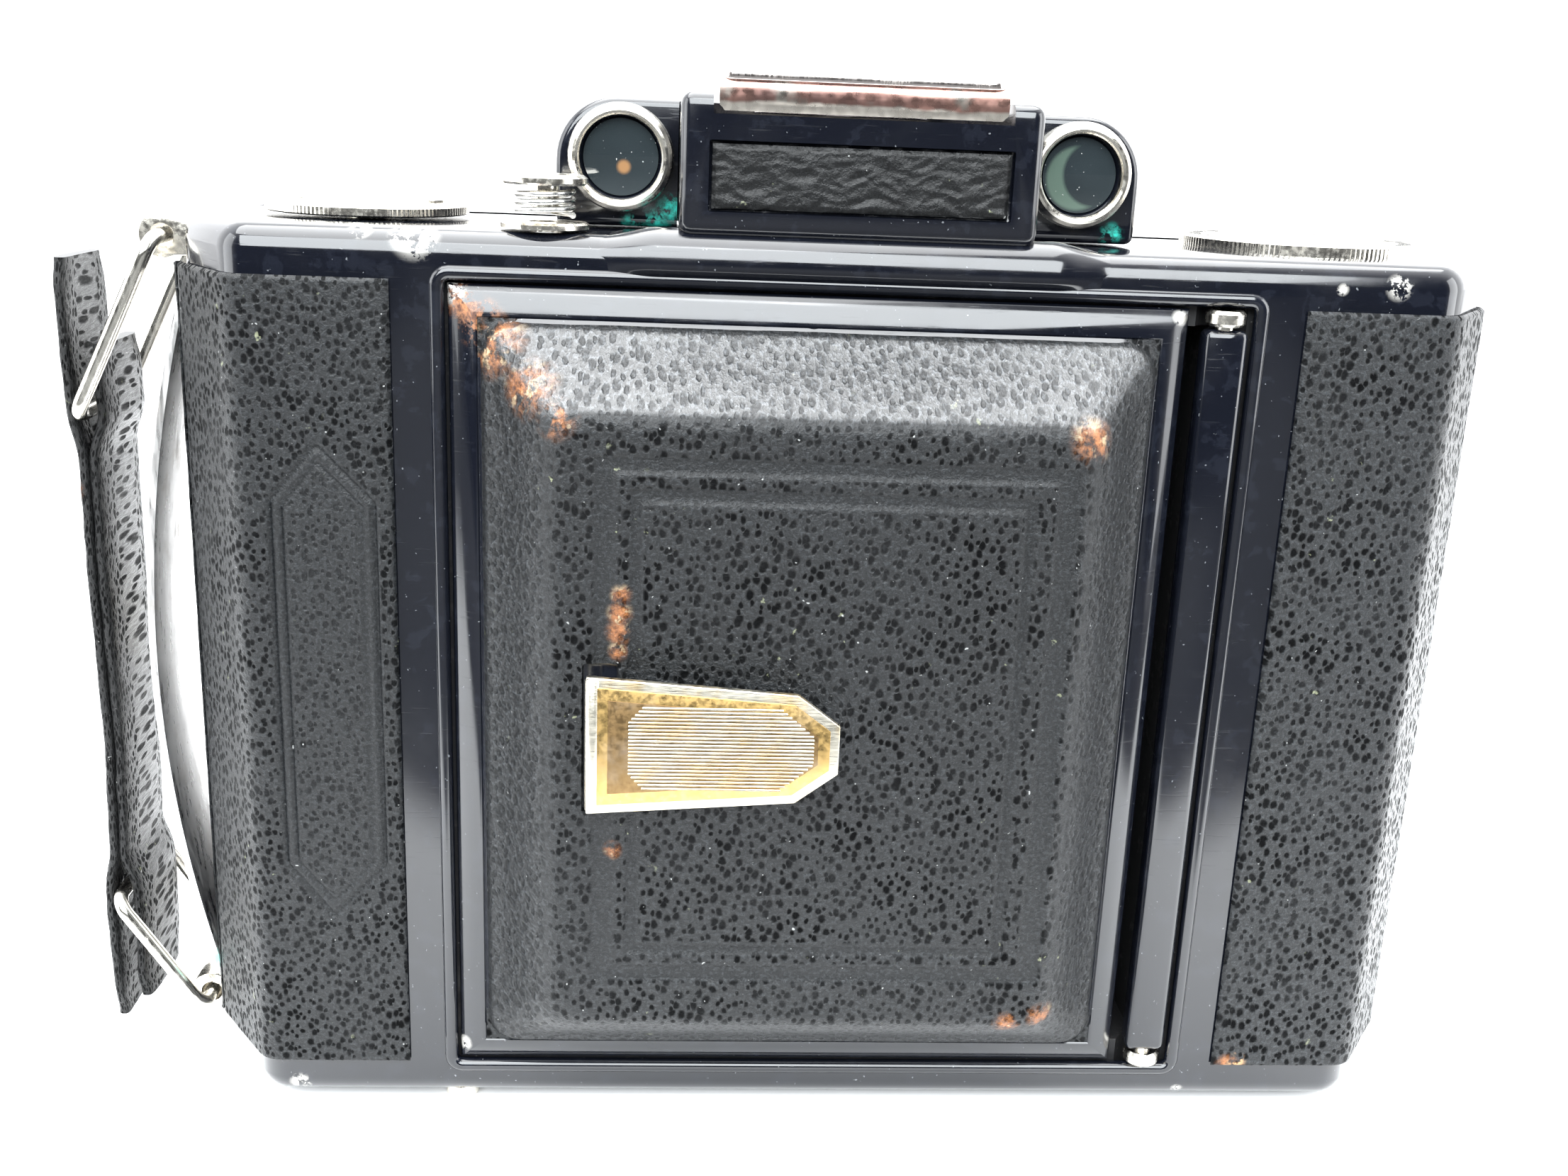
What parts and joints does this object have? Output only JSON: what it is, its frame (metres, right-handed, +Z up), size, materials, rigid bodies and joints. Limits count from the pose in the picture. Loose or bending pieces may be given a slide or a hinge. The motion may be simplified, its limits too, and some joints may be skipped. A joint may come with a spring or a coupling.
{
  "type": "folding camera",
  "caption": "Roll-film camera with a front door, a lens standard on knee struts, bellows, a hinged back, a range finder, a folding sight and a carrying strap.",
  "frame": {"origin": "middle of the plane it stands on, under the body, at the base plate's middle", "axes": "+Z up, -Y out of the lens side, +X to the right of someone looking at the lens side"},
  "size_m": [0.1458, 0.0534, 0.1075],
  "materials": {
    "enamel": "glossy black enamel, chipped at the edges",
    "leather": "fine pebbled black leather",
    "nickel": "worn nickel plate",
    "tongue_plate": "nickel plate worn to the brass",
    "steel": "bright steel",
    "glass": "clear glass",
    "bellows": "matte black folded leather",
    "ruby": "dark red window"
  },
  "bodies": {
    "root": {"body_shell": "enamel", "inner_body": "enamel", "leather_left": "leather", "leather_right": "leather", "hinge_pin": "nickel", "bellows": "bellows", "rf_housing": "enamel", "finder_box": "enamel", "finder_leather": "leather", "rf_rim_left": "nickel", "rf_rim_right": "nickel", "rf_window_left": "glass", "rf_window_right": "glass", "rf_eyepiece": "nickel", "release_collar": "nickel", "release_spring": "steel", "side_plate": "nickel", "lug_top": "nickel", "lug_bottom": "nickel", "foot_front": "nickel", "foot_rear_left": "nickel", "foot_rear_right": "nickel", "base_plate": "nickel"},
    "door": {"door_shell": "enamel", "door_leather": "leather", "hinge_bar": "enamel"},
    "tongue": {"stand_tongue": "tongue_plate"},
    "standard": {"standard_board": "enamel", "shutter_case": "enamel", "lens_mount": "enamel", "front_glass": "glass", "rear_cell": "steel"},
    "speed_dial": {"speed_ring": "nickel"},
    "focus": {"focus_ring": "nickel"},
    "cocking": {"cocking_lever": "nickel"},
    "trip": {"release_lever": "nickel"},
    "aperture": {"aperture_lever": "nickel"},
    "arm": {"rf_arm": "nickel", "rf_wedge_glass": "glass"},
    "strut_a_top": {"strut_root_top": "steel"},
    "strut_b_top": {"strut_tip_top": "steel"},
    "strut_a_bottom": {"strut_root_bottom": "steel"},
    "strut_b_bottom": {"strut_tip_bottom": "steel"},
    "sight_front": {"front_sight": "nickel"},
    "sight_rear": {"rear_sight": "nickel"},
    "knob": {"wind_knob": "nickel"},
    "knob_grip": {"wind_grip": "nickel"},
    "dial": {"depth_dial": "nickel"},
    "button": {"release_button": "nickel"},
    "ring_upper": {"ring_top": "nickel"},
    "ring_lower": {"ring_bottom": "nickel"},
    "carry_strap": {"strap": "leather"},
    "latch": {"back_latch": "steel"},
    "back": {"back_cover": "enamel", "back_leather": "leather", "pressure_plate": "steel", "pressure_spring": "steel", "ruby_window": "ruby"},
    "shuttle": {"window_cover": "enamel"}
  },
  "joints": [
    {"name": "door_hinge", "type": "hinge", "parent": "root", "child": "door", "pos_m": [0.0356, -0.0191, 0.0469], "axis": [0, 0, 1], "range_deg": [0, 90]},
    {"name": "standard_slide", "type": "slide", "parent": "root", "child": "standard", "axis": [0, -1, 0], "range_m": [0, 0.047]},
    {"name": "strut_root_top_pivot", "type": "hinge", "parent": "root", "child": "strut_a_top", "pos_m": [-0.025, -0.0035, 0.0819], "axis": [0, 0, -1], "range_deg": [0, 54]},
    {"name": "strut_knee_top", "type": "hinge", "parent": "strut_a_top", "child": "strut_b_top", "pos_m": [0.00489, -0.00611, 0.0819], "axis": [0, 0, 1], "range_deg": [0, 108]},
    {"name": "strut_root_bottom_pivot", "type": "hinge", "parent": "root", "child": "strut_a_bottom", "pos_m": [-0.025, -0.0035, 0.0119], "axis": [0, 0, -1], "range_deg": [0, 54]},
    {"name": "strut_knee_bottom", "type": "hinge", "parent": "strut_a_bottom", "child": "strut_b_bottom", "pos_m": [0.00489, -0.00611, 0.0119], "axis": [0, 0, 1], "range_deg": [0, 108]},
    {"name": "arm_swing", "type": "hinge", "parent": "standard", "child": "arm", "pos_m": [-0.0226, -0.006, 0.0715], "axis": [0, -1, 0], "range_deg": [-180.5, 0]},
    {"name": "tongue_hinge", "type": "hinge", "parent": "door", "child": "tongue", "pos_m": [-0.0236, -0.03135, 0.0469], "axis": [0, 0, -1], "range_deg": [0, 90]},
    {"name": "speed_turn", "type": "hinge", "parent": "standard", "child": "speed_dial", "pos_m": [-0.0025, -0.006, 0.0469], "axis": [0, -1, 0], "range_deg": [-150, 150]},
    {"name": "focus_turn", "type": "hinge", "parent": "standard", "child": "focus", "pos_m": [-0.0025, -0.006, 0.0469], "axis": [0, -1, 0], "range_deg": [0, 270]},
    {"name": "cocking_throw", "type": "hinge", "parent": "standard", "child": "cocking", "pos_m": [-0.0025, -0.006, 0.0469], "axis": [0, -1, 0], "range_deg": [0, 25]},
    {"name": "trip_throw", "type": "hinge", "parent": "standard", "child": "trip", "pos_m": [-0.0025, -0.006, 0.0469], "axis": [0, -1, 0], "range_deg": [0, 15]},
    {"name": "aperture_turn", "type": "hinge", "parent": "standard", "child": "aperture", "pos_m": [-0.0025, -0.006, 0.0469], "axis": [0, -1, 0], "range_deg": [0, 50]},
    {"name": "front_sight_hinge", "type": "hinge", "parent": "root", "child": "sight_front", "pos_m": [0, -0.0188, 0.1071], "axis": [1, 0, 0], "range_deg": [0, 90]},
    {"name": "rear_sight_hinge", "type": "hinge", "parent": "root", "child": "sight_rear", "pos_m": [0, 0.0058, 0.1071], "axis": [-1, 0, 0], "range_deg": [0, 90]},
    {"name": "knob_turn", "type": "hinge", "parent": "root", "child": "knob", "pos_m": [-0.0488, 0, 0.0924], "axis": [0, 0, 1], "continuous": true},
    {"name": "grip_fold", "type": "hinge", "parent": "knob", "child": "knob_grip", "pos_m": [-0.0488, 0.002, 0.0936], "axis": [-1, 0, 0], "range_deg": [0, 90]},
    {"name": "dial_turn", "type": "hinge", "parent": "root", "child": "dial", "pos_m": [0.0488, 0, 0.0924], "axis": [0, 0, 1], "continuous": true},
    {"name": "release_press", "type": "slide", "parent": "root", "child": "button", "axis": [0, 0, -1], "range_m": [0, 0.0016], "stiffness_N_per_m": 150, "deforming": ["release_spring"]},
    {"name": "strap_pull", "type": "slide", "parent": "root", "child": "carry_strap", "axis": [-1, 0, 0], "range_m": [0, 0.003]},
    {"name": "ring_top_swing", "type": "hinge", "parent": "root", "child": "ring_upper", "pos_m": [-0.0684, 0, 0.0899], "axis": [0, 1, 0], "range_deg": [0, 10]},
    {"name": "ring_bottom_swing", "type": "hinge", "parent": "root", "child": "ring_lower", "pos_m": [-0.0684, 0, 0.005], "axis": [0, -1, 0], "range_deg": [0, 15]},
    {"name": "latch_slide", "type": "slide", "parent": "root", "child": "latch", "axis": [0, 0, -1], "range_m": [0, 0.004], "stiffness_N_per_m": 100},
    {"name": "back_hinge", "type": "hinge", "parent": "root", "child": "back", "pos_m": [0.0648, 0.01, 0.0469], "axis": [0, 0, -1], "range_deg": [0, 120]},
    {"name": "shuttle_slide", "type": "slide", "parent": "back", "child": "shuttle", "axis": [1, 0, 0], "range_m": [0, 0.014]}
  ],
  "couplings": [
    {"joint": "standard_slide", "follows": "door_hinge", "m_per_rad": 0.029274},
    {"joint": "strut_root_top_pivot", "follows": "door_hinge", "ratio": 0.59556},
    {"joint": "strut_knee_top", "follows": "door_hinge", "ratio": 1.1911},
    {"joint": "strut_root_bottom_pivot", "follows": "door_hinge", "ratio": 0.59556},
    {"joint": "strut_knee_bottom", "follows": "door_hinge", "ratio": 1.1911},
    {"joint": "arm_swing", "follows": "door_hinge", "ratio": -2},
    {"joint": "ring_top_swing", "follows": "strap_pull", "rad_per_m": 58},
    {"joint": "ring_bottom_swing", "follows": "strap_pull", "rad_per_m": 83}
  ]
}
